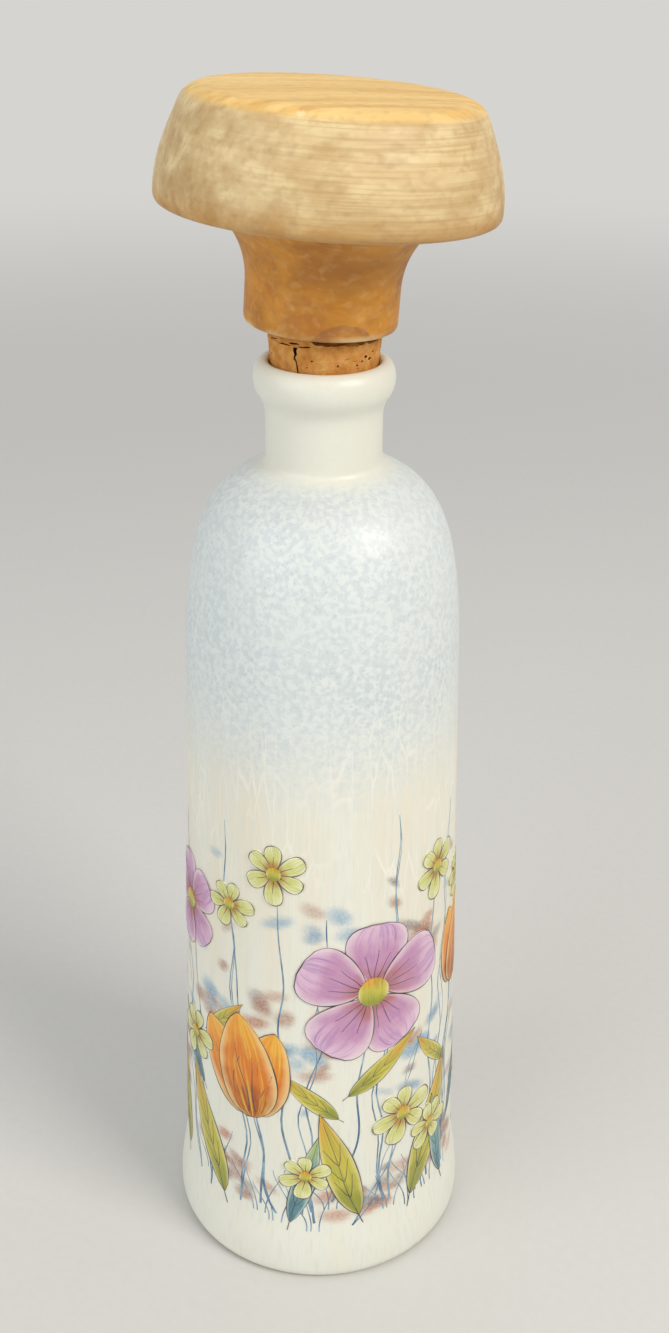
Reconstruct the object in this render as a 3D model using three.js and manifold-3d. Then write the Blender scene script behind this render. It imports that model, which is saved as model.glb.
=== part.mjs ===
// A glazed ceramic decanter, stoppered by a cork that carries a turned wooden knob.
// Millimetres, +Z up. The origin is the centre of the foot, on the surface that the bottle stands on.
import * as THREE from 'three';
import { mergeVertices } from 'three/addons/utils/BufferGeometryUtils.js';
import Module from 'manifold-3d';

// Bottle, outside
const footRadius = 45.4;
const footEdge = 4; // rounding under the foot
const footSpread = 26; // height over which the foot spreads out of the wall
const waistRadius = 42.7; // wall radius at the top of the spread foot
const shoulderRadius = 37.85; // wall radius where the shoulder starts
const bodyHeight = 198.3; // from the ground to the shoulder
const shoulderRise = 52.2;
const shoulderFall = 23.7; // degrees of slope where the shoulder meets the neck
const neckRadius = 15.3;
const neckFillet = 1.4; // hollow between shoulder and neck
const neckLength = 13.3;
const lipOverhang = 3.1; // the rolled lip stands this far out of the neck
const lipSwell = 10.2; // height over which the neck swells out into the lip
const lipCrown = 4.3; // from the lip's widest part to its top

// Bottle, inside and below
const wall = 4.5;
const neckWall = 2.7;
const floorThickness = 6;
const floorCorner = 9; // rounding between floor and wall
const mouthEdge = 1.5; // rounding of the lip into the mouth
const footRingWidth = 7; // flat ring that the bottle stands on
const footRecess = 2.5; // depth of the hollow inside the foot ring
const footRecessDraft = 2; // width of the hollow's sloping side

// Cork
const corkDepth = 18; // length that sits in the mouth
const corkShown = 8.9; // length between the lip and the wood, on the axis
const corkTaper = 0.09; // radius gained for each millimetre of height
const corkBevel = 1; // at the lower end
const corkClearance = 0.3; // gap between cork and mouth

// Knob
const knobLean = 3.4; // degrees towards +X: the wood sits askew on the cork
const knobShift = -1.1; // the wood sits this far off the bottle's axis, along X
const seatGap = 0.3; // between cork and wood
const stemRadius = 19.5;
const stemEdge = 1.8; // rounding at the stem's lower end
const stemStraight = 10; // straight part of the stem, below the cove
const coveRise = 18.4; // height of the hollow curve from the stem out to the cap
const undersideWidth = 6; // flat ring under the cap, outside the cove
const capRadius = 42.6;
const capRim = 2.2; // rounding at the cap's lower edge
const capSide = 20.7; // height of the cap's side, between its two rounded edges
const capTaper = 5.4; // radius lost up the side
const capTilt = 22; // degrees that the side leans in at its upper end
const capEdge = 4.3; // height of the rounded upper edge
const capEdgeWidth = 7.4; // width of the rounded upper edge
const capCrown = 0.5; // the top rises this much to its middle

// Dowel
const dowelRadius = 4.8;
const dowelInKnob = 22;
const dowelInCork = 15;
const dowelBevel = 0.8;
const dowelClearance = 0.3; // gap between the dowel and its two holes

// Fullness of the curves, as shares of their heights
const footEase = 0.4;
const shoulderLead = 0.74;
const shoulderCrown = 0.28;
const lipEase = 0.52;
const capEase = 0.38;

// Facets
const roundFacets = 48;
const curveFacet = 5.5; // length of a facet along a curved outline
const leastFacets = 5; // on a short curve

// Heights and radii that follow
const degree = Math.PI / 180;
const fall = shoulderFall * degree;
const waistHeight = footEdge + footSpread;
const wallSlope = (shoulderRadius - waistRadius) / (bodyHeight - waistHeight);
const neckBase = bodyHeight + shoulderRise;
const lipBase = neckBase + neckLength;
const lipWidest = lipBase + lipSwell;
const lipTop = lipWidest + lipCrown;
const lipRadius = neckRadius + lipOverhang;
const boreRadius = neckRadius - neckWall;
const mouthRadius = boreRadius + corkTaper * corkDepth;
const corkBottom = lipTop - corkDepth;
const seatHeight = lipTop + corkShown;

// A solid turned about Z from an outline of radius and height whose ends lie on the axis.
function turned(outline) {
  const points = [outline.curves[0].getPoint(0)];
  for (const curve of outline.curves) {
    const facets = Math.max(leastFacets, Math.round(curve.getLength() / curveFacet));
    points.push(...curve.getPoints(curve.isLineCurve ? 1 : facets).slice(1));
  }
  return new THREE.LatheGeometry(points, roundFacets).rotateX(Math.PI / 2);
}

// The four corner points of a shoulder curve that lies the given depth inside the outer surface,
// from its lower end on the wall to its upper end at the neck.
function shoulderCurve(depth) {
  const low = new THREE.Vector2(shoulderRadius - depth, bodyHeight);
  const high = new THREE.Vector2(neckRadius + neckFillet, neckBase);
  high.x -= depth * Math.sin(fall);
  high.y -= depth * Math.cos(fall);
  const lead = shoulderLead * (high.y - low.y);
  const crown = shoulderCrown * (high.y - low.y);
  const leaving = new THREE.Vector2(low.x + wallSlope * lead, low.y + lead);
  const arriving = new THREE.Vector2(high.x + crown * Math.cos(fall), high.y - crown * Math.sin(fall));
  return [low, leaving, arriving, high];
}

// One thin shell: up the outside from the foot, over the lip, and down the inside to the floor.
function bottleOutline() {
  const ringInside = footRadius - footEdge - footRingWidth;
  const spread = footEase * footSpread;
  const swell = lipEase * lipSwell;
  const outline = new THREE.Path();

  // Foot: a hollow, a flat ring and a rounded edge
  outline.moveTo(0, footRecess);
  outline.lineTo(ringInside - footRecessDraft, footRecess);
  outline.lineTo(ringInside, 0);
  outline.lineTo(footRadius - footEdge, 0);
  outline.quadraticCurveTo(footRadius, 0, footRadius, footEdge);

  // Spread foot, straight wall and shoulder
  outline.bezierCurveTo(
    footRadius, footEdge + spread,
    waistRadius - wallSlope * spread, waistHeight - spread,
    waistRadius, waistHeight,
  );
  outline.lineTo(shoulderRadius, bodyHeight);
  const [, leaving, arriving, neckFoot] = shoulderCurve(0);
  outline.bezierCurveTo(leaving.x, leaving.y, arriving.x, arriving.y, neckFoot.x, neckFoot.y);

  // Neck and rolled lip
  const filletCorner = neckBase + neckFillet * Math.tan(fall);
  outline.quadraticCurveTo(neckRadius, filletCorner, neckRadius, filletCorner + neckFillet);
  outline.lineTo(neckRadius, lipBase);
  outline.bezierCurveTo(neckRadius, lipBase + swell, lipRadius, lipWidest - swell, lipRadius, lipWidest);
  outline.bezierCurveTo(
    lipRadius, lipWidest + lipEase * lipCrown,
    mouthRadius + mouthEdge + lipEase * (lipRadius - mouthRadius - mouthEdge), lipTop,
    mouthRadius + mouthEdge, lipTop,
  );
  outline.quadraticCurveTo(mouthRadius, lipTop, mouthRadius, lipTop - mouthEdge);

  // Mouth that tapers with the cork, then the bore of the neck
  const [low, insideLeaving, insideArriving, high] = shoulderCurve(wall);
  const boreCorner = high.y + (high.x - boreRadius) * Math.tan(fall);
  outline.lineTo(boreRadius, corkBottom);
  outline.lineTo(boreRadius, boreCorner + neckFillet);
  outline.quadraticCurveTo(boreRadius, boreCorner, high.x, high.y);

  // Inner shoulder, inner wall and floor
  const floorHeight = footRecess + floorThickness;
  const floorRadius = waistRadius - wall + wallSlope * (floorHeight - waistHeight);
  outline.bezierCurveTo(insideArriving.x, insideArriving.y, insideLeaving.x, insideLeaving.y, low.x, low.y);
  outline.lineTo(floorRadius + wallSlope * floorCorner, floorHeight + floorCorner);
  outline.quadraticCurveTo(floorRadius, floorHeight, floorRadius - floorCorner, floorHeight);
  outline.lineTo(0, floorHeight);
  return outline;
}

// The tapered plug before its top is trimmed to the leaning wood.
function corkOutline() {
  const lowRadius = boreRadius - corkClearance;
  const stockTop = seatHeight + lowRadius;
  const outline = new THREE.Path();
  outline.moveTo(0, corkBottom);
  outline.lineTo(lowRadius - corkBevel, corkBottom);
  outline.lineTo(lowRadius + corkTaper * corkBevel, corkBottom + corkBevel);
  outline.lineTo(lowRadius + corkTaper * (stockTop - corkBottom), stockTop);
  outline.lineTo(0, stockTop);
  return outline;
}

// A mushroom in one piece, standing on z = 0: stem, cove, flat underside and cap.
function knobOutline() {
  const capUnder = stemStraight + coveRise;
  const sideBase = capUnder + capRim;
  const sideTop = sideBase + capSide;
  const capTop = sideTop + capEdge;
  const sideTopRadius = capRadius - capTaper;
  const coveRadius = capRadius - capRim - undersideWidth;
  const lead = capEase * capSide;
  const outline = new THREE.Path();
  outline.moveTo(0, 0);
  outline.lineTo(stemRadius - stemEdge, 0);
  outline.quadraticCurveTo(stemRadius, 0, stemRadius, stemEdge);
  outline.lineTo(stemRadius, stemStraight);
  outline.absellipse(coveRadius, stemStraight, coveRadius - stemRadius, coveRise, Math.PI, Math.PI / 2, true);
  outline.lineTo(capRadius - capRim, capUnder);
  outline.quadraticCurveTo(capRadius, capUnder, capRadius, sideBase);
  outline.bezierCurveTo(
    capRadius, sideBase + lead,
    sideTopRadius + lead * Math.tan(capTilt * degree), sideTop - lead,
    sideTopRadius, sideTop,
  );
  outline.quadraticCurveTo(
    sideTopRadius - capEdge * Math.tan(capTilt * degree), capTop,
    sideTopRadius - capEdgeWidth, capTop,
  );
  outline.quadraticCurveTo((sideTopRadius - capEdgeWidth) / 2, capTop + capCrown, 0, capTop + capCrown);
  return outline;
}

// The dowel on the knob's axis, from inside the cork below z = 0 to inside the wood above it.
// Grown by a gap, it is the shape of the two holes that it sits in.
function dowelOutline(gap) {
  const radius = dowelRadius + gap;
  const low = -dowelInCork - gap;
  const high = dowelInKnob + gap;
  const outline = new THREE.Path();
  outline.moveTo(0, low);
  outline.lineTo(radius - dowelBevel, low);
  outline.lineTo(radius, low + dowelBevel);
  outline.lineTo(radius, high - dowelBevel);
  outline.lineTo(radius - dowelBevel, high);
  outline.lineTo(0, high);
  return outline;
}

const wasm = await Module();
wasm.setup();

// A closed geometry as a solid that can be cut.
function solid(geometry) {
  geometry.deleteAttribute('normal');
  geometry.deleteAttribute('uv');
  const merged = mergeVertices(geometry);
  return new wasm.Manifold(new wasm.Mesh({
    numProp: 3,
    vertProperties: merged.attributes.position.array,
    triVerts: new Uint32Array(merged.index.array),
  }));
}

// A cut solid as a geometry again.
function geometryOf(cut) {
  const mesh = cut.getMesh();
  const geometry = new THREE.BufferGeometry();
  geometry.setAttribute('position', new THREE.BufferAttribute(mesh.vertProperties, 3));
  geometry.setIndex(new THREE.BufferAttribute(mesh.triVerts, 1));
  geometry.computeVertexNormals();
  return geometry;
}

function piece(name, geometry, color, roughness) {
  const material = new THREE.MeshStandardMaterial({ color, roughness, metalness: 0 });
  const mesh = new THREE.Mesh(geometry, material);
  mesh.name = name;
  return mesh;
}

// The wood and its dowel lean together about the middle of the cork's top.
const leaning = new THREE.Group();
leaning.position.set(knobShift, 0, seatHeight);
leaning.rotation.y = knobLean * degree;
leaning.updateMatrix();

const dowelHole = turned(dowelOutline(dowelClearance));

// The cork's top is trimmed parallel to the leaning stem, and its hole leans with the dowel.
function corkGeometry() {
  const trimSize = 4 * stemRadius; // a block well wider than the cork
  const trim = new THREE.BoxGeometry(trimSize, trimSize, trimSize);
  trim.translate(0, 0, trimSize / 2 - seatGap);
  const plug = solid(turned(corkOutline()));
  const trimmed = plug.subtract(solid(trim.applyMatrix4(leaning.matrix)));
  return geometryOf(trimmed.subtract(solid(dowelHole.clone().applyMatrix4(leaning.matrix))));
}

function knobGeometry() {
  return geometryOf(solid(turned(knobOutline())).subtract(solid(dowelHole.clone())));
}

const decanter = new THREE.Group();
decanter.add(piece('bottle', turned(bottleOutline()), 0xe8e6dc, 0.38));
decanter.add(piece('cork', corkGeometry(), 0xcb9a5c, 0.9));
leaning.add(piece('knob', knobGeometry(), 0xd6b27c, 0.5));
leaning.add(piece('dowel', turned(dowelOutline(0)), 0xd9bf92, 0.7));
decanter.add(leaning);

export default decanter;
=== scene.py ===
import math
import random

import bmesh
import bpy
import numpy
from mathutils import Matrix, Vector, noise
from mathutils.geometry import interpolate_bezier


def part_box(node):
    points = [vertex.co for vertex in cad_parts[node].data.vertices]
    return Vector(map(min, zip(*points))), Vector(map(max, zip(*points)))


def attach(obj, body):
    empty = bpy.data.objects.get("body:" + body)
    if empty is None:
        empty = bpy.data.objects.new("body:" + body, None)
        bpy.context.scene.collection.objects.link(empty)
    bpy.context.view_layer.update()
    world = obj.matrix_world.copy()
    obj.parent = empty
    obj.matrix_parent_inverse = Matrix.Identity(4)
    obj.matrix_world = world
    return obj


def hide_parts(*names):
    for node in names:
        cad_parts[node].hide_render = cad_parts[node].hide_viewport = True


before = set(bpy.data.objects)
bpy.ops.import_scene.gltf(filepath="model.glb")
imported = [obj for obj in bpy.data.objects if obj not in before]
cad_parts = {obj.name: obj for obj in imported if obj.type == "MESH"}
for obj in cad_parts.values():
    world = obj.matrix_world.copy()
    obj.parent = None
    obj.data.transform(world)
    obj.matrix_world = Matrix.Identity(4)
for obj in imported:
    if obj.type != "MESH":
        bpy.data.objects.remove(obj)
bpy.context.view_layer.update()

mm = 0.001
_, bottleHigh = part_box("bottle")
corkLow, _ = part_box("cork")
handSeed = 7  # so that the hand work comes out the same each run
random.seed(handSeed)
noise.seed_set(handSeed)
print("frame loaded:", sorted(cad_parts))


def hexColor(code):  # sRGB hex to the linear colour that a socket takes
    parts = [int(code[i:i + 2], 16) / 255 for i in (1, 3, 5)]
    return [c / 12.92 if c <= 0.04045 else ((c + 0.055) / 1.055) ** 2.4 for c in parts] + [1.0]


def newMaterial(name):
    material = bpy.data.materials.new(name)
    material.use_nodes = True
    return material, material.node_tree.nodes["Principled BSDF"]


def plug(material, node, inputs):  # a value for each socket, or a wire from another node's output in use
    for name, value in inputs.items():
        if isinstance(value, bpy.types.Node):
            value = next(socket for socket in value.outputs if socket.enabled)
        if isinstance(value, bpy.types.NodeSocket):
            material.node_tree.links.new(value, node.inputs[name])
        else:
            node.inputs[name].default_value = value


def addNode(material, kind, inputs={}, stops=(), **settings):
    node = material.node_tree.nodes.new("ShaderNode" + kind)
    for name, value in settings.items():
        setattr(node, name, value)
    for i, (place, code) in enumerate(stops):
        element = node.color_ramp.elements[i] if i < 2 else node.color_ramp.elements.new(place)
        element.position = place
        element.color = hexColor(code)
    plug(material, node, inputs)
    return node


# camera, solved from the ellipses of the foot, the lip and the knob
cameraView = {
    "place": (3.4, -387, 387.4),  # mm
    "pitch": 27,  # degrees below level
    "roll": 0.62,
    "lens": 41.86,  # mm, on a sensor of this height
    "sensor": 36,
}


def setCamera():
    bpy.ops.object.camera_add(location=(0, 0, 0))
    camera = bpy.context.object
    camera.name = "photo_view"
    camera.data.sensor_fit = "VERTICAL"
    camera.data.sensor_height = cameraView["sensor"]
    camera.data.lens = cameraView["lens"]
    camera.matrix_world = (
        Matrix.Translation(Vector(cameraView["place"]) * mm)
        @ Matrix.Rotation(math.radians(90 - cameraView["pitch"]), 4, "X")
        @ Matrix.Rotation(math.radians(cameraView["roll"]), 4, "Z")
    )
    bpy.context.scene.camera = camera
    print("camera looks", cameraView["pitch"], "degrees down")


studio = {
    "floor": "#CFCECB",
    "floorTooth": "#D5D4D1",
    "toothSize": 3,  # mm
    "floorRough": 0.9,
    "floorSize": 60,  # metres
    "backdrop": "#D5D4D0",  # what the camera sees far off, along the floor and above it
    "fade": (0.6, 1.9),  # metres from the object, where the lit floor passes into the backdrop
    "room": "#F0F2F3",
    "roomStrength": 0.44,
    "aim": (0, 0, 0.17),  # metres, what every lamp points at
    "lamps": [  # name, place and size in metres, watts, colour
        ("key_softbox", (1.0, -0.8, 1.2), 0.7, 16.5, "#FFF8EE"),
        ("fill_softbox", (-1.1, -0.95, 0.8), 1.3, 11, "#F8F8F6"),
        ("top_softbox", (0.1, 0.25, 1.9), 1.4, 8, "#FFFFFF"),
    ],
}


def seenDirectly(material):  # 1 for what the camera sees, also in gloss or through glass
    rays = addNode(material, "LightPath").outputs
    seen = addNode(material, "Math", {0: rays["Is Camera Ray"], 1: rays["Is Glossy Ray"]}, operation="ADD")
    return addNode(material, "Math", {0: seen, 1: rays["Is Transmission Ray"]}, operation="ADD",
                   use_clamp=True)


# Matt painted board: a faint tooth and no gloss, and far off it becomes the plain backdrop.
def boardMaterial():
    material, shader = newMaterial("matt painted board")
    where = addNode(material, "TexCoord").outputs["Object"]
    tooth = addNode(material, "TexNoise", {"Vector": where, "Scale": 1 / (studio["toothSize"] * mm),
                                           "Detail": 3})
    tint = addNode(material, "Mix", {0: tooth, 6: hexColor(studio["floor"]), 7: hexColor(studio["floorTooth"])},
                   data_type="RGBA")
    plug(material, shader, {"Base Color": tint, "Roughness": studio["floorRough"]})
    away = addNode(material, "VectorMath", {0: where}, operation="LENGTH")
    near, far = studio["fade"]
    fade = addNode(material, "MapRange", {0: away, 1: near, 2: far, 4: seenDirectly(material)},
                   interpolation_type="SMOOTHSTEP")
    plain = addNode(material, "Emission", {0: hexColor(studio["backdrop"])})
    faded = addNode(material, "MixShader", {0: fade, 1: shader, 2: plain})
    plug(material, material.node_tree.nodes["Material Output"], {"Surface": faded})
    return material


def setStudio():
    bpy.ops.object.select_all(action="DESELECT")
    bpy.ops.mesh.primitive_plane_add(size=studio["floorSize"], location=(0, 0, 0))
    floor = bpy.context.object
    floor.name = "studio_floor"
    floor.data.materials.append(boardMaterial())

    world = bpy.data.worlds.new("soft_room")
    bpy.context.scene.world = world
    world.use_nodes = True
    room = world.node_tree.nodes["Background"]
    plug(world, room, {"Color": hexColor(studio["room"]), "Strength": studio["roomStrength"]})
    plain = addNode(world, "Background", {0: hexColor(studio["backdrop"])})
    either = addNode(world, "MixShader", {0: seenDirectly(world), 1: room, 2: plain})
    plug(world, world.node_tree.nodes["World Output"], {"Surface": either})
    for name, place, size, watts, code in studio["lamps"]:
        bpy.ops.object.light_add(type="AREA", location=place)
        lamp = bpy.context.object
        lamp.name = name
        lamp.data.size = size
        lamp.data.energy = watts
        lamp.data.color = hexColor(code)[:3]
        aim = Vector(studio["aim"]) - Vector(place)
        lamp.rotation_euler = aim.to_track_quat("-Z", "Y").to_euler()
    bpy.context.scene.view_settings.view_transform = "Standard"
    print("studio lit by", len(studio["lamps"]), "lamps")


# how finely pieces are welded and shaded
weld = 0.002  # mm
turnedCrease = 38  # degrees, past which an edge stays sharp
cutCrease = 40


def pickOnly(*pieces):  # the first one becomes the active piece
    bpy.ops.object.select_all(action="DESELECT")
    for piece in pieces:
        piece.select_set(True)
    bpy.context.view_layer.objects.active = pieces[0]


def joined(name, pieces):
    pickOnly(*pieces)
    bpy.ops.object.join()
    pieces[0].name = name
    return pieces[0]


def sculpt(piece, move):  # a small move of each point, as with a sculpting brush
    for vert in piece.data.vertices:
        vert.co = move(vert.co.copy())
    piece.data.update()


# A profile is a list of strokes in mm of radius and height. A stroke is its end point,
# after one corner point for a rounded edge or two pulls for a long curve.
def drawProfile(start, strokes, facet):
    points = [Vector((start[0], 0, start[1]))]
    for stroke in strokes:
        *pulls, end = [Vector((radius, 0, height)) for radius, height in stroke]
        begin = points[-1]
        if not pulls:
            pulls = [begin.lerp(end, 1 / 3), begin.lerp(end, 2 / 3)]
        if len(pulls) == 1:
            pulls = [begin.lerp(pulls[0], 2 / 3), end.lerp(pulls[0], 2 / 3)]
        count = max(4, round((begin - end).length / facet))
        points += interpolate_bezier(begin, *pulls, end, count + 1)[1:]
    return points


def drawLine(name, points):  # through points in mm, left in edit mode and selected
    bpy.ops.object.select_all(action="DESELECT")
    bpy.ops.mesh.primitive_plane_add(size=mm, location=(0, 0, 0))
    piece = bpy.context.object
    piece.name = name
    bpy.ops.object.mode_set(mode="EDIT")
    bpy.ops.mesh.merge(type="CENTER")
    bpy.ops.transform.translate(value=points[0] * mm)
    for here, there in zip(points, points[1:]):
        bpy.ops.mesh.extrude_region_move(TRANSFORM_OT_translate={"value": (there - here) * mm})
    bpy.ops.mesh.select_all(action="SELECT")
    return piece


def turnPiece(name, points, steps):
    piece = drawLine(name, points)
    bpy.ops.mesh.spin(steps=steps, angle=2 * math.pi, center=(0, 0, 0), axis=(0, 0, 1))
    bpy.ops.mesh.select_all(action="SELECT")
    bpy.ops.mesh.remove_doubles(threshold=weld * mm)
    bpy.ops.mesh.normals_make_consistent(inside=False)
    bpy.ops.object.mode_set(mode="OBJECT")
    bpy.ops.object.shade_smooth_by_angle(angle=math.radians(turnedCrease))
    return piece


def cutAway(piece, cutter):
    cut = piece.modifiers.new("cut", "BOOLEAN")
    cut.object = cutter
    cut.solver = "EXACT"
    cut.material_mode = "TRANSFER"
    pickOnly(piece)
    bpy.ops.object.modifier_apply(modifier=cut.name)
    bpy.data.objects.remove(cutter)


# bottle, in mm: the sizes of the CAD bottle, the potter's hand and the glaze
bottlePlan = {
    "footRadius": bottleHigh.x / mm,
    "footEdge": 4,
    "footSpread": 26,
    "footEase": 0.4,
    "waistRadius": 42.7,
    "shoulderRadius": 37.85,
    "bodyHeight": 198.3,
    "shoulderRise": 52.2,
    "shoulderFall": 23.7,  # degrees
    "shoulderLead": 0.74,
    "shoulderCrown": 0.28,
    "neckRadius": 15.3,
    "neckFillet": 1.4,
    "neckLength": 13.3,
    "lipOverhang": 3.1,
    "lipSwell": 10.2,
    "lipEase": 0.52,
    "lipTop": bottleHigh.z / mm,
    "mouthRadius": 14.22,
    "mouthEdge": 1.5,
    "boreRadius": 12.6,
    "boreTop": corkLow.z / mm,
    "wall": 4.5,
    "floorHeight": 8.5,
    "floorCorner": 9,
    "ringWidth": 7,
    "ringRecess": 2.5,
    "ringDraft": 2,
    "outerFacet": 1.25,
    "innerFacet": 5,
    "steps": 240,
    "unevenness": 0.12,  # hand work, out of true
    "unevenSize": 45,
    "trueFoot": 40,  # it grows from the foot up to here
    "trueNeck": 250,  # and the neck is true again
    "glaze": {
        "white": "#E7E9DF",
        "warmRun": "#E8E1CD",
        "streak": "#D9DDD4",
        "neck": "#E5E4D6",
        # cool ground of the shoulder: partly the glaze's own tone, partly painted bluish shade
        "shoulder": "#DEE5E4",
        "sponge": "#CAD4D8",
        "spongeDeep": "#AEBDC5",
        "crazeLine": "#F6F4EA",
        "bareClay": "#C9B393",
        "grains": {  # width, height and how finely it breaks up
            "sponge": (1.65, 1.65, 2.5),
            "fine": (0.9, 0.9, 3),
            "drift": (26, 26, 2),
            "run": (6, 70, 3),
            "streak": (0.9, 9, 2),
        },
        "bands": {  # two heights, the strength below and above them, and the change between
            "lower": (165, 212, 1, 0.15, "SMOOTHSTEP"),
            "aboveFoot": (30, 130, 0.35, 1, "LINEAR"),
            "rising": (158, 202, 0, 1, "SMOOTHSTEP"),
            "leaving": (247.5, 251.5, 1, 0.1, "SMOOTHSTEP"),
            "onNeck": (247.5, 251.5, 0, 0.9, "SMOOTHSTEP"),
            "crazed": (105, 145, 0, 1, "LINEAR"),
            "wipedFoot": (0.2, 0.9, 1, 0, "LINEAR"),
        },
        "levels": {  # a grain, two levels of it and the strength at each
            "mottle": ("drift", 0.35, 0.65, 0.55, 0.95),
            "washGrain": ("fine", 0.3, 0.7, 0.7, 1.15),
            "roughness": ("drift", 0.3, 0.7, 0.36, 0.46),
        },
        "layers": {  # a grain, the two levels between which the layer comes in, and the change between
            "runs": ("run", 0.28, 0.72, "LINEAR"),
            "streaks": ("streak", 0.5, 0.72, "LINEAR"),
            "dabs": ("sponge", 0.36, 0.64, "SMOOTHSTEP"),
            "specks": ("fine", 0.56, 0.74, "LINEAR"),
            "crazePatches": ("drift", 0.42, 0.6, "LINEAR"),
        },
        "streakShare": 0.5,
        "speckShare": 0.6,
        "crazeCell": 3.4,
        "crazeUpright": 0.15,  # width of its cells for their height
        "crazeBend": 4,
        "crazeSway": 1.1,
        "crazeLineWidth": (0.06, 0.02),  # share of a cell, wider than real hairlines so that they show
        "clayRough": 0.9,
        "relief": [("fine", 0.12, 0.05), ("sponge", 0.1, 0.1)],  # a grain, how strongly and how high it stands
        "ior": 1.52,
    },
}


def wallSlope():
    plan = bottlePlan
    waistHeight = plan["footEdge"] + plan["footSpread"]
    return (plan["shoulderRadius"] - plan["waistRadius"]) / (plan["bodyHeight"] - waistHeight)


def shoulderCurve(depth):  # lower end, two pulls and upper end, this deep inside the outer face
    plan = bottlePlan
    fall = math.radians(plan["shoulderFall"])
    low = Vector((plan["shoulderRadius"] - depth, plan["bodyHeight"]))
    high = Vector((plan["neckRadius"] + plan["neckFillet"], plan["bodyHeight"] + plan["shoulderRise"]))
    high -= Vector((math.sin(fall), math.cos(fall))) * depth
    rise = high.y - low.y
    leaving = low + Vector((wallSlope(), 1)) * plan["shoulderLead"] * rise
    arriving = high + Vector((math.cos(fall), -math.sin(fall))) * plan["shoulderCrown"] * rise
    return low, leaving, arriving, high


def bottleProfile():
    plan = bottlePlan
    slope = wallSlope()
    fall = math.tan(math.radians(plan["shoulderFall"]))
    footRadius, footEdge = plan["footRadius"], plan["footEdge"]
    neckRadius, neckFillet = plan["neckRadius"], plan["neckFillet"]
    mouthRadius, mouthEdge = plan["mouthRadius"], plan["mouthEdge"]
    lipEase, lipTop = plan["lipEase"], plan["lipTop"]
    ringInside = footRadius - footEdge - plan["ringWidth"]
    waistRadius, waistHeight = plan["waistRadius"], footEdge + plan["footSpread"]
    spread = plan["footEase"] * plan["footSpread"]
    neckBase = plan["bodyHeight"] + plan["shoulderRise"]
    lipBase = neckBase + plan["neckLength"]
    lipWidest = lipBase + plan["lipSwell"]
    lipRadius = neckRadius + plan["lipOverhang"]
    lipInner = mouthRadius + mouthEdge
    swell = lipEase * plan["lipSwell"]
    _, leaving, arriving, neckFoot = shoulderCurve(0)
    filletTop = neckBase + neckFillet * fall
    under = drawProfile((0, plan["ringRecess"]), [
        [(ringInside - plan["ringDraft"], plan["ringRecess"])],
        [(ringInside, 0)],
        [(footRadius - footEdge, 0)],
    ], plan["innerFacet"])
    outside = drawProfile((footRadius - footEdge, 0), [
        [(footRadius, 0), (footRadius, footEdge)],
        [(footRadius, footEdge + spread), (waistRadius - slope * spread, waistHeight - spread),
         (waistRadius, waistHeight)],
        [(plan["shoulderRadius"], plan["bodyHeight"])],
        [leaving, arriving, neckFoot],
        [(neckRadius, filletTop), (neckRadius, filletTop + neckFillet)],
        [(neckRadius, lipBase)],
        [(neckRadius, lipBase + swell), (lipRadius, lipWidest - swell), (lipRadius, lipWidest)],
        [(lipRadius, lipWidest + lipEase * (lipTop - lipWidest)),
         (lipInner + lipEase * (lipRadius - lipInner), lipTop), (lipInner, lipTop)],
        [(mouthRadius, lipTop), (mouthRadius, lipTop - mouthEdge)],
    ], plan["outerFacet"])
    low, insideLeaving, insideArriving, high = shoulderCurve(plan["wall"])
    boreRadius, boreCorner = plan["boreRadius"], high.y + (high.x - plan["boreRadius"]) * fall
    floorHeight, floorCorner = plan["floorHeight"], plan["floorCorner"]
    floorRadius = waistRadius - plan["wall"] + slope * (floorHeight - waistHeight)
    inside = drawProfile((mouthRadius, lipTop - mouthEdge), [
        [(boreRadius, plan["boreTop"])],
        [(boreRadius, boreCorner + neckFillet)],
        [(boreRadius, boreCorner), high],
        [insideArriving, insideLeaving, low],
        [(floorRadius + slope * floorCorner, floorHeight + floorCorner)],
        [(floorRadius, floorHeight), (floorRadius - floorCorner, floorHeight)],
        [(0, floorHeight)],
    ], plan["innerFacet"])
    return under, outside, inside


underProfile, outsideProfile, insideProfile = bottleProfile()
wallHeights = [point.z for point in outsideProfile]
wallRadii = [point.x for point in outsideProfile]


def outOfTrue(place):  # where hand work puts a point of the wall
    plan = bottlePlan
    if place.z >= plan["trueNeck"] * mm:
        return place
    drift = noise.noise_vector(place / (plan["unevenSize"] * mm)) * plan["unevenness"] * mm
    return place + Vector((drift.x, drift.y, 0)) * min(1, place.z / (plan["trueFoot"] * mm))
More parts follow.
